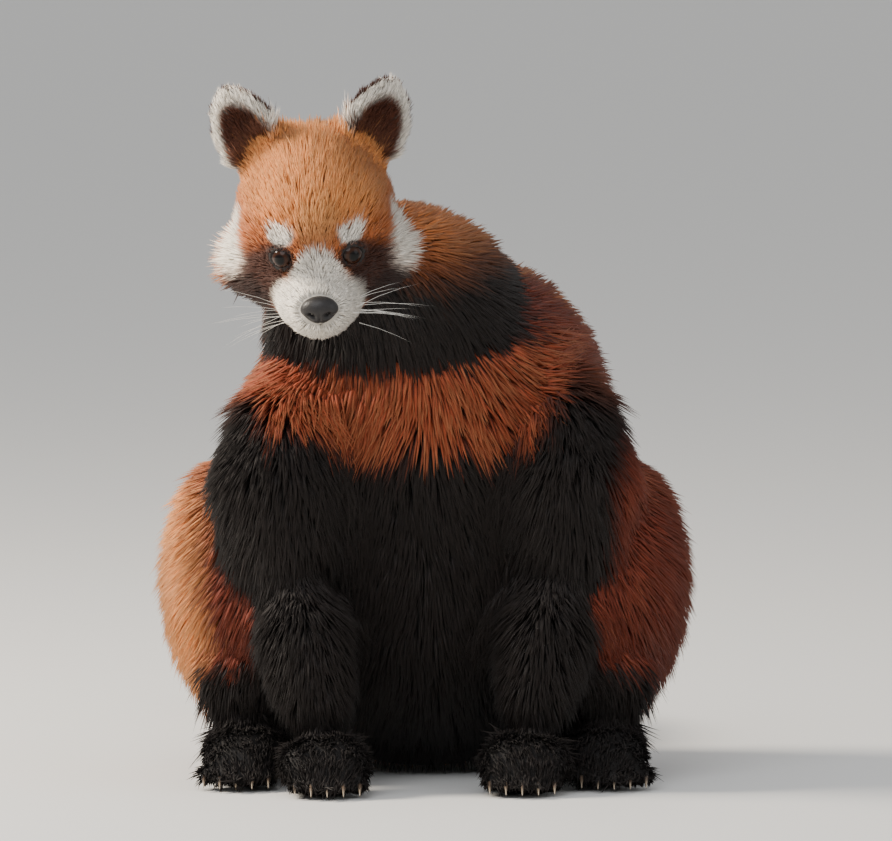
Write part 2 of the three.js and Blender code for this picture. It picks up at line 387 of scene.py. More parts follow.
def eye_axes(name):
    """The way the eye looks, and its sideways and upward axes."""
    side = 1 if name.endswith("left") else -1
    look = from_head(unit(np.array((side * 0.42, -0.90, 0.16))))
    across = unit(np.cross(look, HEAD_AXES[:, 2]))
    return look, across, np.cross(across, look)


def opening(away, name):
    """How far out across the eye's opening each place lies: 1 at the edge of the lids."""
    _, across, up = eye_axes(name)
    side, height = away @ across / OPENING_HALF_WIDTH, away @ up / OPENING_HALF_HEIGHT
    slant = 0.16 if name.endswith("left") else -0.16
    return np.hypot(side, (height - slant * side) * (1 + 0.18 * side**2))


def shape_lids(points):
    """Draws the skin over each eyeball as two lids, and behind it inside the opening."""
    for name, centre in EYE_CENTRES.items():
        look = eye_axes(name)[0]
        away = points - centre
        distance = np.linalg.norm(away, axis=1)
        ray = away / np.maximum(distance, 1e-9)[:, None]
        turn = opening(away, name)
        front = (ray @ look > 0.1) & (distance < 15 * MM)
        inside = front & (turn < 1)
        lid = front & (turn >= 1)
        fold = EYE_RADIUS + LID_CLEARANCE + 0.8 * MM * np.exp(-(((turn - 1.22) / 0.14) ** 2))
        close = 1 - smoothstep(1.2, 1.6, turn)
        wanted = np.maximum(distance, fold) * close + np.maximum(distance, EYE_RADIUS) * (1 - close)
        reach = np.where(inside, EYE_RADIUS - 1.6 * MM, np.where(lid, wanted, distance))
        points = centre + ray * reach[:, None] * front[:, None] + away * (~front)[:, None]
    return points


def mouth_groove(points, normals):
    """The line of the shut mouth and the groove under the nose, pressed into the muzzle."""
    local = to_head(points)
    x, y, z = np.abs(local[:, 0]), local[:, 1], local[:, 2]
    line = -31 - 0.004 * (y + 74) ** 2 + 0.10 * (y + 74)
    mouth = np.exp(-(((z - line) / 1.5) ** 2)) * smoothstep(-38, -48, y)
    below_nose = smoothstep(-33, -30, z) * smoothstep(-20, -23, z)
    under = np.exp(-((x / 1.2) ** 2)) * smoothstep(-66, -70, y) * below_nose
    return points - normals * ((mouth + 0.7 * under) * 1.6 * MM)[:, None], mouth + under


class Skin:
    """The skin's mesh with what the coat needs to know at each of its points."""

    def __init__(self, rng):
        mesh = remeshed(flesh_copy(), SKIN_VOXEL)
        refine_near_eyes(mesh)
        self.mesh = mesh
        mesh.calc_loop_triangles()
        self.corners = read(mesh.loop_triangles, "vertices", 3, np.int32)
        self.loops = read(mesh.loop_triangles, "loops", 3, np.int32)
        points = read(mesh.vertices, "co", 3)
        self.web = Web(read(mesh.edges, "vertices", 2, np.int64), len(points))
        self.shares = region_shares(points, self.web, rng)
        points = self.soften(points)
        normals = normals_of(points, self.corners)
        self.depth = self.web.spread(coat_depth(points, normals, self.shares)[:, None], 12, 0.6)[:, 0]
        points = self.sink(points)
        points = shape_lids(points)
        normals = normals_of(points, self.corners)
        points, self.mouth = mouth_groove(points, normals)
        points[:, 2] = np.maximum(points[:, 2], 0.8 * MM)
        self.points = points
        self.normals = normals_of(points, self.corners)
        self.flow = self.lie()
        mesh.vertices.foreach_set("co", points.ravel())
        mesh.update()

    def soften(self, points):
        """Smooths the joins between the solids, least on the head and paws."""
        give = (0.35 + 0.65 * (1 - share_of(self.shares, "head", "ear", "paw")))[:, None] * 0.5
        for _ in range(6):
            points = points + (self.web.mean(points) - points) * give
        for _ in range(44):
            points = np.where(give > 0.4, points + (self.web.mean(points) - points) * give, points)
        nape = share_of(self.shares, "head") * smoothstep(14, 44, to_head(points)[:, 1])
        broad = (share_of(self.shares, "trunk", "neck") + nape)[:, None] * 0.55
        for _ in range(150):
            points = points + (self.web.mean(points) - points) * broad
        return points

    def sink(self, points, steps=8):
        for _ in range(steps):
            normals = self.web.spread(normals_of(points, self.corners), 3)
            points = points - unit(normals) * (self.depth / steps)[:, None]
            even = self.web.mean(points) - points
            even -= normals * np.sum(even * normals, axis=1, keepdims=True)
            points = points + even * 0.3
        return points

    def ear_lie(self, local):
        """Up and outward from the middle of the ear's root."""
        across, upward = ear_place(self.points)
        side = np.sign(local[:, 0])
        fan = np.column_stack((across, np.full(len(across), -4.0), np.maximum(upward, 0) + 14))
        fan[:, 0] += fan[:, 2] * math.sin(EAR_LEAN)
        fan[:, 0] *= side
        return from_head(unit(fan))

    def lie(self):
        """The way the coat lies at each point, along the skin."""
        local = to_head(self.points)
        away = local - np.array((0, -70, -10))
        away[:, 2] -= 14 * blob(local, (55, 0, -20), (30, 40, 40), 0.4)
        away[:, 1] += 12
        up = np.clip(self.normals[:, 2], 0, 1)
        backward = unit(np.column_stack((0 * up, 0.5 + 1.2 * up, -0.85 * (1 - 0.75 * up))))
        ways = dict(
            head=from_head(unit(away)),
            ear=self.ear_lie(local),
            neck=backward + np.array((0.22, 0, 0)),
            trunk=backward,
            thigh=unit(np.array((0.0, 0.30, -0.95))),
            upper_fore=unit(np.array((0.0, 0.12, -1.0))),
            lower_fore=unit(np.array((0.0, 0.0, -1.0))),
            lower_hind=unit(np.array((0.0, -0.2, -1.0))),
            paw=unit(np.array((0.0, -1.0, -0.3))),
            tail=TAIL_WAY[nearest_on_tail(self.points)],
        )
        flow = sum(self.shares[:, i : i + 1] * ways[name] for i, name in enumerate(REGIONS))
        outward = np.sign(self.points[:, :1]) * share_of(self.shares, "trunk", "thigh")[:, None]
        flow = flow + np.array((0.16, 0, 0)) * outward
        flow = along_surface(flow, self.normals)
        flow = self.web.spread(flow, 16, 0.6)
        return along_surface(flow, self.normals)


# Markings, with painted light and shade, used by the skin and the coat alike
def head_marks_and_top_light(points):
    local = to_head(points)
    x, y, z = np.abs(local[:, 0]), local[:, 1], local[:, 2]
    colour = np.tile(RUST, (len(points), 1))
    # Lighter orange toward the crown: partly the crown's own paler fur, partly painted top light.
    colour = mixed(colour, ORANGE, smoothstep(14, 34, z))
    colour = mixed(colour, RED, smoothstep(30, 62, y))
    colour = mixed(colour, BUFF, 0.3 * blob(local, (0, -40, 24), (10, 18, 14), 0.4))
    colour = mixed(colour, BLACK, smoothstep(-16, -26, z) * smoothstep(26, 32, x) * smoothstep(50, 20, y))
    colour = mixed(colour, BLACK, smoothstep(-26, -38, z) * smoothstep(-44, -34, y))
    colour = mixed(colour, TEAR * 0.4, blob(local, (28, -38, -8), (13, 22, 20), 0.25))
    colour = mixed(colour, TEAR * 0.2, blob(local, (34, -22, -24), (14, 20, 15), 0.3))
    colour = mixed(colour, WHITE, blob(local, (47, -19, -3), (10.5, 14, 13), 0.35))
    colour = mixed(colour, WHITE, blob(local, (46, -8, 8), (10.5, 11, 9), 0.4))
    colour = mixed(colour, WHITE, blob(local, (0, -62, -20), (29, 31, 22), 0.16))
    colour = mixed(colour, WHITE, blob(local, (0, -46, 0), (15.5, 22, 12.5), 0.2))
    colour = mixed(colour, WHITE, blob(local, (20.5, -42, 21.2), (9.5, 9, 4.4), 0.25))
    colour = mixed(colour, TEAR * 0.4, blob(local, (22.5, -44, 9.8), (10.5, 17, 8.6), 0.2))
    return colour


def ear_place(points):
    """Places across the ear and up it, in millimetres from its root."""
    local = to_head(points)
    side = np.sign(local[:, 0])
    folded = np.column_stack((local[:, 0] * side, local[:, 1:]))
    x, _, z = (folded - EAR_AT).T
    across = x * math.cos(EAR_LEAN) - z * math.sin(EAR_LEAN)
    return across, x * math.sin(EAR_LEAN) + z * math.cos(EAR_LEAN)


def ear_markings(points, normals):
    """Dark behind and deep in the cup, with a broad white rim."""
    across, upward = ear_place(points)
    colour = np.tile(TEAR * 0.55, (len(points), 1))
    rim = np.hypot(across / 20, (upward - 16) / 33)
    white = smoothstep(0.62, 0.82, rim) * smoothstep(0.35, -0.1, (normals @ HEAD_AXES)[:, 1])
    return mixed(colour, WHITE, white)


def tail_markings(points):
    share = TAIL_SHARE[nearest_on_tail(points)]
    ring = np.sin(share * 2 * math.pi * 6.5 + 0.6)
    colour = mixed(np.tile(RUST, (len(points), 1)), BUFF, smoothstep(-0.15, 0.35, ring))
    return mixed(colour, TEAR * 0.6, smoothstep(0.83, 0.87, share))


def flank_sun_and_shade(x, normals, colour):
    """Painted sunlight (pale orange) on the right flank's outer side, and painted shade (deep red) on the
    front-facing fur and on the left flank.
    """
    colour = mixed(colour, SHADED, smoothstep(0.3, -0.4, normals[:, 1]) * smoothstep(-134, -122, x))
    colour = mixed(colour, SHADED, 0.8 * smoothstep(60, 96, x) * smoothstep(-0.1, 0.4, normals[:, 0]))
    sunlit_side = smoothstep(-116, -134, x) * smoothstep(0.1, -0.6, normals[:, 0])
    return mixed(colour, SUNLIT, 0.85 * sunlit_side * smoothstep(0.6, 0.0, normals[:, 1]))


def trunk_marks_and_painted_light(points, normals):
    x, _, z = to_drawing(points).T
    colour = np.tile(RUST, (len(points), 1))
    # Lighter orange on upward-facing fur: painted top light.
    colour = mixed(colour, ORANGE, 0.45 * smoothstep(0.2, 0.9, normals[:, 2]))
    # Painted sunlight and painted shade on the flanks and the front.
    colour = flank_sun_and_shade(x, normals, colour)
    front = smoothstep(-0.05, -0.45, normals[:, 1])
    chest = front * smoothstep(112, 92, np.abs(x)) * smoothstep(262, 214, z)
    stripe = front * smoothstep(34, 20, np.abs(x - 16)) * smoothstep(330, 300, z)
    under = smoothstep(-0.35, -0.75, normals[:, 2])
    return mixed(colour, BLACK, np.maximum.reduce((chest, stripe, under)))


def neck_marks_and_top_light(points, normals):
    height = to_drawing(points)[:, 2]
    colour = np.tile(RUST, (len(points), 1))
    # Lighter orange on upward-facing fur: painted top light.
    colour = mixed(colour, ORANGE, 0.4 * smoothstep(0.2, 0.9, normals[:, 2]))
    throat = smoothstep(345, 315, height) * smoothstep(256, 272, height)
    return mixed(colour, BLACK, throat * smoothstep(0.4, -0.1, normals[:, 1]))


def foreleg_marks_and_shade(drawn, normals):
    colour = np.tile(BLACK, (len(drawn), 1))
    shoulder = smoothstep(232, 262, drawn[:, 2]) * smoothstep(-0.9, 0.2, normals[:, 1])
    colour = mixed(colour, RED, shoulder)
    # Painted shade: deep red on the outer side of the left upper foreleg.
    return mixed(colour, SHADED, smoothstep(104, 114, drawn[:, 0]) * smoothstep(120, 150, drawn[:, 2]))


def red_band(points, normals):
    """The red collar that shows under the chin, between the dark throat and the dark chest."""
    x, _, z = to_drawing(points).T
    across = smoothstep(-98, -90, x) * smoothstep(84, 60, x)
    upward = smoothstep(222, 234, z) * smoothstep(283, 275, z)
    return across * upward * smoothstep(0.1, -0.2, normals[:, 1])


def coat_marks_and_painted_light(points, normals, shares):
    drawn = to_drawing(points)
    thigh = np.tile(RUST, (len(points), 1))
    # Painted sunlight on the right flank, painted shade on the thigh fronts and the left flank.
    thigh = flank_sun_and_shade(drawn[:, 0], normals, thigh)
    inner = smoothstep(96, 74, np.abs(drawn[:, 0])) * smoothstep(0.0, -0.4, normals[:, 1])
    thigh = mixed(thigh, BLACK, np.maximum(inner, smoothstep(64, 40, drawn[:, 2])))
    dark = np.tile(BLACK, (len(points), 1))
    paints = dict(
        head=head_marks_and_top_light(points),
        ear=ear_markings(points, normals),
        neck=neck_marks_and_top_light(points, normals),
        trunk=trunk_marks_and_painted_light(points, normals),
        thigh=thigh,
        upper_fore=foreleg_marks_and_shade(drawn, normals),
        lower_fore=dark,
        lower_hind=dark,
        paw=dark,
        tail=tail_markings(points),
    )
    crisp = shares**3
    crisp /= crisp.sum(axis=1, keepdims=True)
    colour = sum(crisp[:, i : i + 1] * paints[name] for i, name in enumerate(REGIONS))
    body = share_of(shares, "trunk", "upper_fore", "neck")
    return mixed(colour, COLLAR, red_band(points, normals) * body)


# Materials
class Wire:
    """A shader socket that can be added, multiplied and powered like a number."""

    def __init__(self, tree, socket):
        self.tree = tree
        self.socket = socket

    def join(self, target, value):
        if isinstance(value, Wire):
            self.tree.links.new(value.socket, target)
        else:
            target.default_value = value

    def maths(self, operation, first, second):
        node = self.tree.nodes.new("ShaderNodeMath")
        node.operation = operation
        self.join(node.inputs[0], first)
        self.join(node.inputs[1], second)
        return Wire(self.tree, node.outputs[0])

    def __add__(self, other):
        return self.maths("ADD", self, other)

    def __radd__(self, other):
        return self.maths("ADD", other, self)

    def __sub__(self, other):
        return self.maths("SUBTRACT", self, other)

    def __rsub__(self, other):
        return self.maths("SUBTRACT", other, self)

    def __mul__(self, other):
        return self.maths("MULTIPLY", self, other)

    def __rmul__(self, other):
        return self.maths("MULTIPLY", other, self)

    def __pow__(self, other):
        return self.maths("POWER", self, other)


class Finish:
    """A material in the making."""

    def __init__(self, name, **values):
        self.material = bpy.data.materials.new(name)
        self.material.use_nodes = True
        self.tree = self.material.node_tree
        self.shader = self.tree.nodes["Principled BSDF"]
        for key, value in values.items():
            self.shader.inputs[key.replace("_", " ")].default_value = value

    def gloss(self, weight, roughness):
        """A clear wet layer over the rest."""
        self.shader.inputs["Coat Weight"].default_value = weight
        self.shader.inputs["Coat Roughness"].default_value = roughness

    def node(self, kind, inputs=None, output=0, **settings):
        made = self.tree.nodes.new("ShaderNode" + kind)
        for key, value in settings.items():
            setattr(made, key, value)
        for key, value in (inputs or {}).items():
            Wire(self.tree, None).join(made.inputs[key], value)
        return Wire(self.tree, made.outputs[output])

    def feed(self, socket, wire):
        self.tree.links.new(wire.socket, self.shader.inputs[socket])

    def attribute(self, name, output="Color"):
        return self.node("Attribute", output=output, attribute_name=name)

    def place(self):
        return self.node("TexCoord", output="Object")

    def noise(self, scale, detail=3.0, roughness=0.5):
        inputs = {"Vector": self.place(), "Scale": scale, "Detail": detail, "Roughness": roughness}
        return self.node("TexNoise", inputs, output=0)

    def shaded(self, colour, factor):
        """The colour, brightened or darkened by a number."""
        inputs = {0: colour, "Scale": factor}
        return self.node("VectorMath", inputs, operation="SCALE")

    def bump(self, height, strength, distance):
        inputs = {"Height": height, "Strength": strength, "Distance": distance}
        self.feed("Normal", self.node("Bump", inputs))


def coat_finish():
    finish = Finish("panda coat", Roughness=0.62, Sheen_Weight=0.04, Specular_IOR_Level=0.2)
    streaks = finish.noise(420.0) * 0.34 + 0.83
    finish.feed("Base Color", finish.shaded(finish.attribute("coat_colour"), streaks))
    return finish.material


def skin_finish():
    finish = Finish("panda skin", Roughness=0.8)
    mottling = finish.noise(160.0) * 0.4 + 0.8
    finish.feed("Base Color", finish.shaded(finish.attribute("coat_colour"), mottling))
    finish.bump(finish.noise(700.0, 4.0), 0.6, 0.6 * MM)
    return finish.material


def nose_finish():
    finish = Finish("moist nose", Roughness=0.46, Specular_IOR_Level=0.3)
    finish.gloss(0.1, 0.25)
    tone = finish.noise(240.0) * 0.6 + 0.7
    finish.feed("Base Color", finish.shaded((0.016, 0.014, 0.014), tone))
    inputs = {"Vector": finish.place(), "Scale": 1100.0}
    pebbles = finish.node("TexVoronoi", inputs)
    finish.bump(pebbles, 0.5, 0.25 * MM)
    return finish.material


def eye_finish():
    finish = Finish("dark wet eye", Roughness=0.10, Specular_IOR_Level=0.12)
    finish.gloss(0.14, 0.03)
    fibres = finish.noise(900.0) * 0.5 + 0.75
    finish.feed("Base Color", finish.shaded(finish.attribute("eye_colour"), fibres))
    return finish.material


def claw_finish():
    finish = Finish("horn claw", Roughness=0.35)
    growth = finish.noise(500.0) * 0.3 + 0.85
    finish.feed("Base Color", finish.shaded(finish.attribute("claw_colour"), growth))
    return finish.material


def whisker_finish():
    finish = Finish("whisker", Roughness=0.4)
    shade = finish.noise(90.0) * 0.2 + 0.9
    finish.feed("Base Color", finish.shaded(finish.attribute("coat_colour"), shade))
    return finish.material


def floor_finish():
    return Finish("pale floor", Roughness=0.7, Base_Color=(0.72, 0.71, 0.69, 1)).material


# Mesh pieces
def paint(mesh, name, colours):
    """Writes one colour at each point of the mesh."""
    layer = mesh.color_attributes.new(name, "FLOAT_COLOR", "POINT")
    filled = np.column_stack((colours, np.ones(len(colours)))).astype(np.float32)
    layer.data.foreach_set("color", filled.ravel())


def mount(thing, material, slot_name, *nodes):
    """Gives a piece its finish and its place on the model."""
    thing.data.materials.append(material)
    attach(thing, "root")
    if nodes:
        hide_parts(*nodes)


def mesh_from(work, name):
    mesh = bpy.data.meshes.new(name)
    work.to_mesh(mesh)
    work.free()
    mesh.polygons.foreach_set("use_smooth", [True] * len(mesh.polygons))
    return mesh


def build_skin(skin):
    # The skin takes the coat's colours at half brightness: painted shade deep in the coat.
    colours = coat_marks_and_painted_light(skin.points, skin.normals, skin.shares) * 0.5
    colours = mixed(colours, np.array((0.012, 0.008, 0.007)), np.clip(skin.mouth * 1.4, 0, 1))
    rim = 1 - smoothstep(9.6, 10.8, toward_eye(skin.points) / MM)
    colours = mixed(colours, np.array((0.010, 0.007, 0.006)), rim)
    paint(skin.mesh, "coat_colour", colours)
    skin.mesh.polygons.foreach_set("use_smooth", [True] * len(skin.mesh.polygons))
    thing = add_object("skin", skin.mesh)
    bpy.context.view_layer.objects.active = thing
    thing.select_set(True)
    skin.mesh.uv_layers.new(name="OFBake")
    bpy.ops.object.mode_set(mode="EDIT")
    bpy.ops.mesh.select_all(action="SELECT")
    bpy.ops.uv.smart_project(angle_limit=math.radians(66), island_margin=0.001)
    bpy.ops.object.mode_set(mode="OBJECT")
    thing.select_set(False)
    mount(thing, skin_finish(), "coat_red", *FLESH)
    return read(skin.mesh.uv_layers["OFBake"].data, "uv", 2)


def build_eye(name, material):
    look, across, up = eye_axes(name)
    work = bmesh.new()
    bmesh.ops.create_uvsphere(work, u_segments=48, v_segments=32, radius=EYE_RADIUS)
    work.transform(Matrix((across, up, look)).transposed().to_4x4())
    mesh = mesh_from(work, name + "_ball")
    points = read(mesh.vertices, "co", 3)
    angle = np.arccos(np.clip(unit(points) @ look, -1, 1))
    points *= (1 + 0.035 * np.exp(-((angle / 0.55) ** 2)))[:, None]
    mesh.vertices.foreach_set("co", (points + EYE_CENTRES[name]).ravel())
    iris = np.tile(np.array((0.030, 0.011, 0.005)), (len(points), 1))
    iris = mixed(iris, np.array((0.002, 0.002, 0.002)), smoothstep(0.46, 0.36, angle))
    iris = mixed(iris, np.array((0.010, 0.006, 0.005)), smoothstep(0.62, 0.78, angle))
    paint(mesh, "eye_colour", iris)
    mount(add_object(name + "_ball", mesh), material, "eye", name)


def build_nose():
    work = bmesh.new()
    bmesh.ops.create_icosphere(work, subdivisions=5, radius=1.0)
    mesh = mesh_from(work, "nose_pad")
    ball = read(mesh.vertices, "co", 3)
    x, y, z = np.abs(ball[:, 0]), ball[:, 1], ball[:, 2]
    wide = 1 - 0.22 * smoothstep(0.1, -0.9, z)
    local = ball * NOSE_HALF * MM * np.column_stack((wide, np.ones_like(wide), np.ones_like(wide)))
    nostril = np.exp(-(((x - 0.42) / 0.17) ** 2) - ((z + 0.10 - 0.25 * (x - 0.42)) / 0.17) ** 2)
    wing = np.exp(-(((x - 0.70) / 0.22) ** 2) - ((z + 0.30) / 0.16) ** 2)
    groove = np.exp(-((x / 0.07) ** 2)) * smoothstep(0.3, -0.1, z)
    front = smoothstep(0.1, -0.35, y)
    local[:, 1] += (nostril * 4.2 + groove * 1.0 + wing * 2.0) * front * MM
    points = from_head(local + NOSE_AT * MM) + HEAD_AT
    mesh.vertices.foreach_set("co", points.ravel())
    mount(add_object("nose_pad", mesh), nose_finish(), "nose", "nose")


def toe_tips():
    """Where each claw leaves its toe."""
    for front, lead in ((FORE_FRONT, RIGHT_LEAD), (HIND_FRONT, 0)):
        for side in (1, -1):
            for step in TOE_STEPS:
                bow = TOE_BOW * (step / 2) ** 2
                x = side * front[0] + step * TOE_PITCH
                y = front[1] - (lead if side < 0 else 0) + bow - TOE_REACH
                yield np.array((x, y, CLAW_HEIGHT)) * MM - DRAWING_SHIFT


def build_claws():
    whole = bmesh.new()
    for tip in toe_tips():
        claw = bmesh.new()
        bmesh.ops.create_cone(
            claw, segments=12, radius1=CLAW_RADIUS, radius2=0.25 * MM, depth=CLAW_LENGTH, cap_ends=True
        )
        long_edges = [edge for edge in claw.edges if edge.calc_length() > CLAW_LENGTH / 2]
        bmesh.ops.subdivide_edges(claw, edges=long_edges, cuts=6, use_grid_fill=True)
        for vertex in claw.verts:
            out = vertex.co.z / CLAW_LENGTH + 0.5
            narrow = vertex.co.x * 0.72
            droop = (3.4 * out**2 + 1.5 * out) * MM
            vertex.co = Vector(tip) + Vector((narrow, 3 * MM - out * CLAW_LENGTH, vertex.co.y - droop))
        mesh = bpy.data.meshes.new("claw")
        claw.to_mesh(mesh)
        claw.free()
        whole.from_mesh(mesh)
        bpy.data.meshes.remove(mesh)
    bmesh.ops.recalc_face_normals(whole, faces=whole.faces)
    mesh = mesh_from(whole, "claws")
    points = read(mesh.vertices, "co", 3)
    points[:, 2] = np.maximum(points[:, 2], 0.6 * MM)
    mesh.vertices.foreach_set("co", points.ravel())
    near_toe = smoothstep(4, 8, points[:, 2] / MM)
    horn = np.tile((0.32, 0.26, 0.19), (len(points), 1))
    paint(mesh, "claw_colour", mixed(horn, np.array((0.10, 0.07, 0.05)), near_toe))
    mount(add_object("claws", mesh), claw_finish(), "nose")


# Coat
def wander(points, rng, wavelengths):
    """A slow random number at each point, between about -1 and 1."""
    total = np.zeros(len(points))
    for wavelength in wavelengths:
        way = unit(rng.normal(size=3)) * 2 * math.pi / wavelength
        total += np.sin(points @ way + rng.uniform(0, 2 * math.pi))
    return total / math.sqrt(len(wavelengths))


def turned(vectors, axes, angles):
    """Each vector turned about its own axis, to which it is square."""
    return vectors * np.cos(angles)[:, None] + np.cross(axes, vectors) * np.sin(angles)[:, None]


def tuft_mesh(name, rings, widths, tips, ridge, colours, patch_uv):
    """Joined tufts. Each is a three-sided spike through its ring centres to its tip."""
    count, steps = len(tips), len(rings)
    across = unit(np.cross(tips - rings[0], ridge))
    size = 3 * steps + 1
    points = np.empty((count, size, 3), dtype=np.float32)
    paints = np.ones((count, size, 4), dtype=np.float32)
    shift = np.empty((size, 2))
    for step, (centre, width) in enumerate(zip(rings, widths)):
        corners = (across * 0.5, ridge * 0.34, across * -0.5)
        for corner, offset in enumerate(corners):
            points[:, 3 * step + corner] = centre + offset * width[:, None]
            paints[:, 3 * step + corner, :3] = colours[step]
            shift[3 * step + corner] = (0.5 - 0.5 * corner, step / steps)
    points[:, -1] = tips
    paints[:, -1, :3] = colours[-1]
    shift[-1] = (0, 1)
    points[:, :, 2] = np.maximum(points[:, :, 2], 0.3 * MM)
    faces = []
    for step in range(steps - 1):
        for corner in range(3):
            low, side = 3 * step + corner, 3 * step + (corner + 1) % 3
            faces += [(low, low + 3, side + 3), (low, side + 3, side)]
    for corner in range(3):
        faces.append((3 * (steps - 1) + corner, size - 1, 3 * (steps - 1) + (corner + 1) % 3))
    faces = np.array(faces)
    corners = (np.arange(count)[:, None, None] * size + faces).reshape(-1).astype(np.int32)
    mesh = bpy.data.meshes.new(name)
    mesh.vertices.add(count * size)
    mesh.vertices.foreach_set("co", points.reshape(-1))
    mesh.loops.add(len(corners))
    mesh.loops.foreach_set("vertex_index", corners)
    mesh.polygons.add(len(corners) // 3)
    mesh.polygons.foreach_set("loop_start", np.arange(0, len(corners), 3, dtype=np.int32))
    mesh.polygons.foreach_set("use_smooth", np.ones(len(corners) // 3, dtype=bool))
    mesh.update()
    layer = mesh.color_attributes.new("coat_colour", "FLOAT_COLOR", "POINT")
    layer.data.foreach_set("color", paints.reshape(-1))
    uv = np.clip(patch_uv[:, None, None, :] + shift[faces][None] * PATCH, 0, 1).astype(np.float32)
    mesh.uv_layers.new(name="OFBake").data.foreach_set("uv", uv.reshape(-1))
    return mesh


class Coat:
    """Tufts rooted on the skin, lying the way the coat lies there."""

    def __init__(self, skin, skin_uv, material, rng):
        self.skin, self.skin_uv, self.material, self.rng = skin, skin_uv, material, rng
        a, b, c = (skin.points[skin.corners[:, i]] for i in range(3))
        self.area = np.linalg.norm(np.cross(b - a, c - a), axis=1) / 2
        self.middle = (a + b + c) / 3
        self.middle_shares = skin.shares[skin.corners].mean(axis=1)
        self.main = np.argmax(self.middle_shares, axis=1)

    def triangles(self, *names):
        return np.isin(self.main, [REGIONS.index(name) for name in names])

    def at_roots(self, values, faces, weights):
        return np.einsum("nk,nkd->nd", weights, values[self.skin.corners[faces]])

    def grow(self, name, count, mask, weight=None, **style):
        skin, rng = self.skin, self.rng
        chance = self.area * mask * (1 if weight is None else weight)
        faces = rng.choice(len(chance), count, p=chance / chance.sum())
        s, t = np.sqrt(rng.random(count)), rng.random(count)
        weights = np.column_stack((1 - s, s * (1 - t), s * t))
        root = self.at_roots(skin.points, faces, weights)
        normal = unit(self.at_roots(skin.normals, faces, weights))
        flow = along_surface(self.at_roots(skin.flow, faces, weights), normal)
        depth = self.at_roots(skin.depth[:, None], faces, weights)[:, 0]
        shares = self.at_roots(skin.shares, faces, weights)
        uv = np.einsum("nk,nkd->nd", weights, self.skin_uv[skin.loops[faces]])
        keep = self.clear_of_face(root)
        self.build(name, root[keep], normal[keep], flow[keep], depth[keep], shares[keep], uv[keep], **style)

    def clear_of_face(self, root):
        """Roots that aren't in an eye's opening or under the nose pad."""
        keep = np.ones(len(root), dtype=bool)
        for name, centre in EYE_CENTRES.items():
            away = root - centre
            near = np.linalg.norm(away, axis=1) < 14 * MM
            keep &= ~(near & (away @ eye_axes(name)[0] > 0) & (opening(away, name) < 1.16))
        pad = (to_head(root) - NOSE_AT) / (NOSE_HALF + np.array((0.6, 2.0, 0.4)))
        return keep & (np.linalg.norm(pad, axis=1) > 1)

    def build(
        self, name, root, normal, flow, depth, shares, uv, lift=(38, 58), shortest=2.4, clump=0.36, slim=1.0
    ):
        """One piece of tufts: lift is in degrees from the skin, shortest in millimetres."""
        rng, count = self.rng, len(root)
        swirl = wander(root, np.random.default_rng(SEED + 1), (0.05, 0.08, 0.03, 0.12)) * 0.16
        flow = turned(flow, normal, swirl + rng.normal(0, 0.16, count))
        angle = np.radians(rng.uniform(*lift, count))
        droop = rng.uniform(0.18, 0.36, count) * np.sin(angle)
        reach = depth * rng.uniform(0.80, 1.04, count)
        length = np.maximum(reach / (np.sin(angle) - droop), shortest * MM * rng.uniform(0.7, 1.1, count))
        hang = np.array((0, 0, -0.10)) * length[:, None] * smoothstep(10, 30, length / MM)[:, None]

        def along(t):
            forward = flow * (np.cos(angle) * t)[:, None]
            upward = normal * (np.sin(angle) * t - droop * t * t)[:, None]
            return root + (forward + upward) * length[:, None] + hang * t * t

        tip = along(1.0)
        pull = self.to_clumps(root, tip - root) * clump
        middle = along(0.5) + pull * 0.4
        tip = tip + pull
        width = (0.85 + 0.056 * np.clip(length / MM, 0, 40)) * slim * rng.uniform(0.7, 1.3, count) * MM
        base = root - normal * 1.0 * MM
        ridge = unit(normal - flow * 0.3)
        colours = self.tuft_colours(root, normal, shares)
        mesh = tuft_mesh(name, [base, middle], [width, width * 0.72], tip, ridge, colours, uv)
        mount(add_object(name, mesh), self.material, "coat_red")

    def to_clumps(self, root, reach):
        """From each tip to the tip of the lock that the tuft belongs to."""
        leaders = self.rng.choice(len(root), max(len(root) // 6, 1), replace=False)
        tree = KDTree(len(leaders))
        for index, leader in enumerate(leaders):
            tree.insert(root[leader], index)
        tree.balance()
        own = leaders[np.array([tree.find(place)[1] for place in root])]
        return (root[own] + reach[own]) - (root + reach)

    def tuft_colours(self, root, normal, shares):
        rng, count = self.rng, len(root)
        colour = coat_marks_and_painted_light(root, normal, shares)
        patchy = wander(root, np.random.default_rng(SEED + 2), (0.02, 0.035, 0.06, 0.011)) * 0.08
        colour = colour * (1 + patchy + rng.normal(0, 0.10, count)).clip(0.5, 1.5)[:, None]
        red = smoothstep(0.10, 0.30, colour[:, 0] - colour[:, 2]) * smoothstep(0.30, 0.12, colour[:, 2])
        tip = mixed(colour * 1.12, STRAW, red * rng.uniform(0.0, 0.30, count))
        # Darker toward the root: painted shade inside the coat; the paler tips are the fur's own.
        shaded_root = colour * np.array((0.46, 0.42, 0.42))
        bright = smoothstep(0.3, 0.6, colour[:, 2])
        shaded_root = mixed(shaded_root, colour * 0.62, bright)
        return [shaded_root, colour * 0.86, tip]


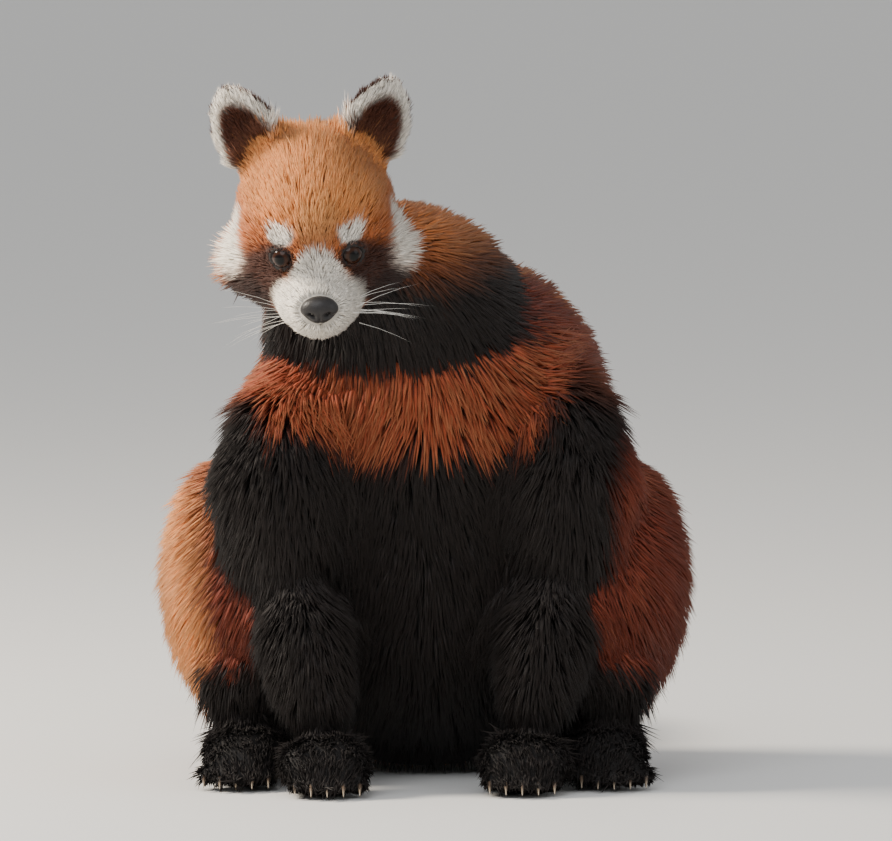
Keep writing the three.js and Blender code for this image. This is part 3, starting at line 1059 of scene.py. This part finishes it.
def build_coat(skin, skin_uv, rng):
    coat = Coat(skin, skin_uv, coat_finish(), rng)
    local = to_head(coat.middle)
    drawn = to_drawing(coat.middle)
    head = coat.triangles("head")
    front = local[:, 1] < -4
    fine = 1 + 1.6 * (1 - smoothstep(-58, -40, local[:, 1]))
    coat.grow("coat_face", 21500, head & front, fine, lift=(24, 42), clump=0.25, slim=0.7)
    coat.grow("coat_crown", 12000, head & ~front, lift=(30, 48), clump=0.3, slim=0.75)
    coat.grow("coat_ears", 8500, coat.triangles("ear"), lift=(14, 34), shortest=9.5, clump=0.3, slim=0.55)
    coat.grow("coat_neck", 11000, coat.triangles("neck"))
    trunk = coat.triangles("trunk")
    behind = drawn[:, 1] > 45
    coat.grow("coat_back", 21000, trunk & behind)
    coat.grow("coat_chest", 16000, trunk & ~behind)
    thigh = coat.triangles("thigh")
    coat.grow("coat_thigh_left", 9500, thigh & (drawn[:, 0] > 0))
    coat.grow("coat_thigh_right", 9500, thigh & (drawn[:, 0] < 0))
    legs = coat.triangles("upper_fore", "lower_fore", "lower_hind")
    coat.grow("coat_legs", 21500, legs, lift=(32, 52), slim=0.9)
    coat.grow("coat_feet", 12500, coat.triangles("paw"), lift=(18, 36), clump=0.2, slim=0.7)
    coat.grow("coat_tail", 21500, coat.triangles("tail"), lift=(38, 56))


def build_whiskers(rng):
    """Long pale hairs from the sides of the muzzle."""
    count = 26
    side = np.where(np.arange(count) % 2, 1, -1)
    row = rng.uniform(-1, 1, count)
    beside = side * rng.uniform(19, 25, count)
    start = np.column_stack((beside, rng.uniform(-66, -52, count), -22 + row * 6))
    outward = side * rng.uniform(0.75, 1.0, count)
    way = unit(np.column_stack((outward, rng.uniform(-0.15, 0.45, count), row * 0.35 - 0.1)))
    length = rng.uniform(28, 48, count)[:, None]
    sag = np.array((0, 0, -1)) * length * 0.16
    rings = [from_head((start + way * length * t + sag * t * t) * MM) + HEAD_AT for t in (0, 0.35, 0.7)]
    tips = from_head((start + way * length + sag) * MM) + HEAD_AT
    width = np.full(count, 0.42 * MM)
    ridge = unit(np.cross(tips - rings[0], from_head(np.array((0.0, 1.0, 0.0)))))
    pale = np.tile(np.array((0.75, 0.72, 0.66)), (count, 1))
    patch = np.column_stack((np.linspace(0.02, 0.98, count), np.full(count, 0.5)))
    mesh = tuft_mesh("whiskers", rings, [width, width * 0.8, width * 0.55], tips, ridge, [pale] * 4, patch)
    mount(add_object("whiskers", mesh), whisker_finish(), "coat_white")


# Studio
def build_floor():
    work = bmesh.new()
    bmesh.ops.create_grid(work, x_segments=1, y_segments=1, size=30)
    mesh = bpy.data.meshes.new("floor")
    work.to_mesh(mesh)
    work.free()
    floor = add_object("floor", mesh)
    mesh.materials.append(floor_finish())


def area_light(name, place, target, size, power, colour):
    light = bpy.data.lights.new(name, "AREA")
    light.shape = "DISK"
    light.size = size
    light.energy = power
    light.color = colour
    thing = bpy.data.objects.new(name, light)
    bpy.context.scene.collection.objects.link(thing)
    thing.location = place
    thing.rotation_euler = (Vector(target) - Vector(place)).to_track_quat("-Z", "Y").to_euler()


def build_lights():
    middle = (0, -0.15, 0.2)
    area_light("sun from upper left", (-2.2, -0.1, 1.7), middle, 0.9, 150, (1.0, 0.90, 0.76))
    area_light("broad sky from the front", (-0.8, -2.6, 2.2), middle, 2.4, 50, (0.93, 0.96, 1.0))
    area_light("fill from the right", (2.2, -1.4, 1.0), middle, 1.8, 9, (0.95, 0.97, 1.0))
    world = bpy.data.worlds.new("studio")
    bpy.context.scene.world = world
    world.use_nodes = True
    world.node_tree.nodes["Background"].inputs["Color"].default_value = (0.84, 0.85, 0.86, 1)
    world.node_tree.nodes["Background"].inputs["Strength"].default_value = 0.78


def build_camera():
    data = bpy.data.cameras.new("camera")
    camera = bpy.data.objects.new("camera", data)
    bpy.context.scene.collection.objects.link(camera)
    way = Vector((0, math.cos(CAMERA_RISE), -math.sin(CAMERA_RISE)))
    camera.location = PICTURE_CENTRE - way * CAMERA_DISTANCE
    camera.rotation_euler = way.to_track_quat("-Z", "Y").to_euler()
    data.sensor_width = SENSOR / MM
    data.lens = SENSOR * CAMERA_DISTANCE / (PICTURE_PIXELS[0] * PIXEL_SIZE) / MM
    data.clip_start = 0.5
    data.clip_end = 100
    bpy.context.scene.camera = camera


def main():
    rng = np.random.default_rng(SEED)
    skin = Skin(rng)
    skin_uv = build_skin(skin)
    eye = eye_finish()
    for name in EYES:
        build_eye(name, eye)
    build_nose()
    build_claws()
    build_coat(skin, skin_uv, rng)
    build_whiskers(rng)
    build_floor()
    build_lights()
    build_camera()


main()
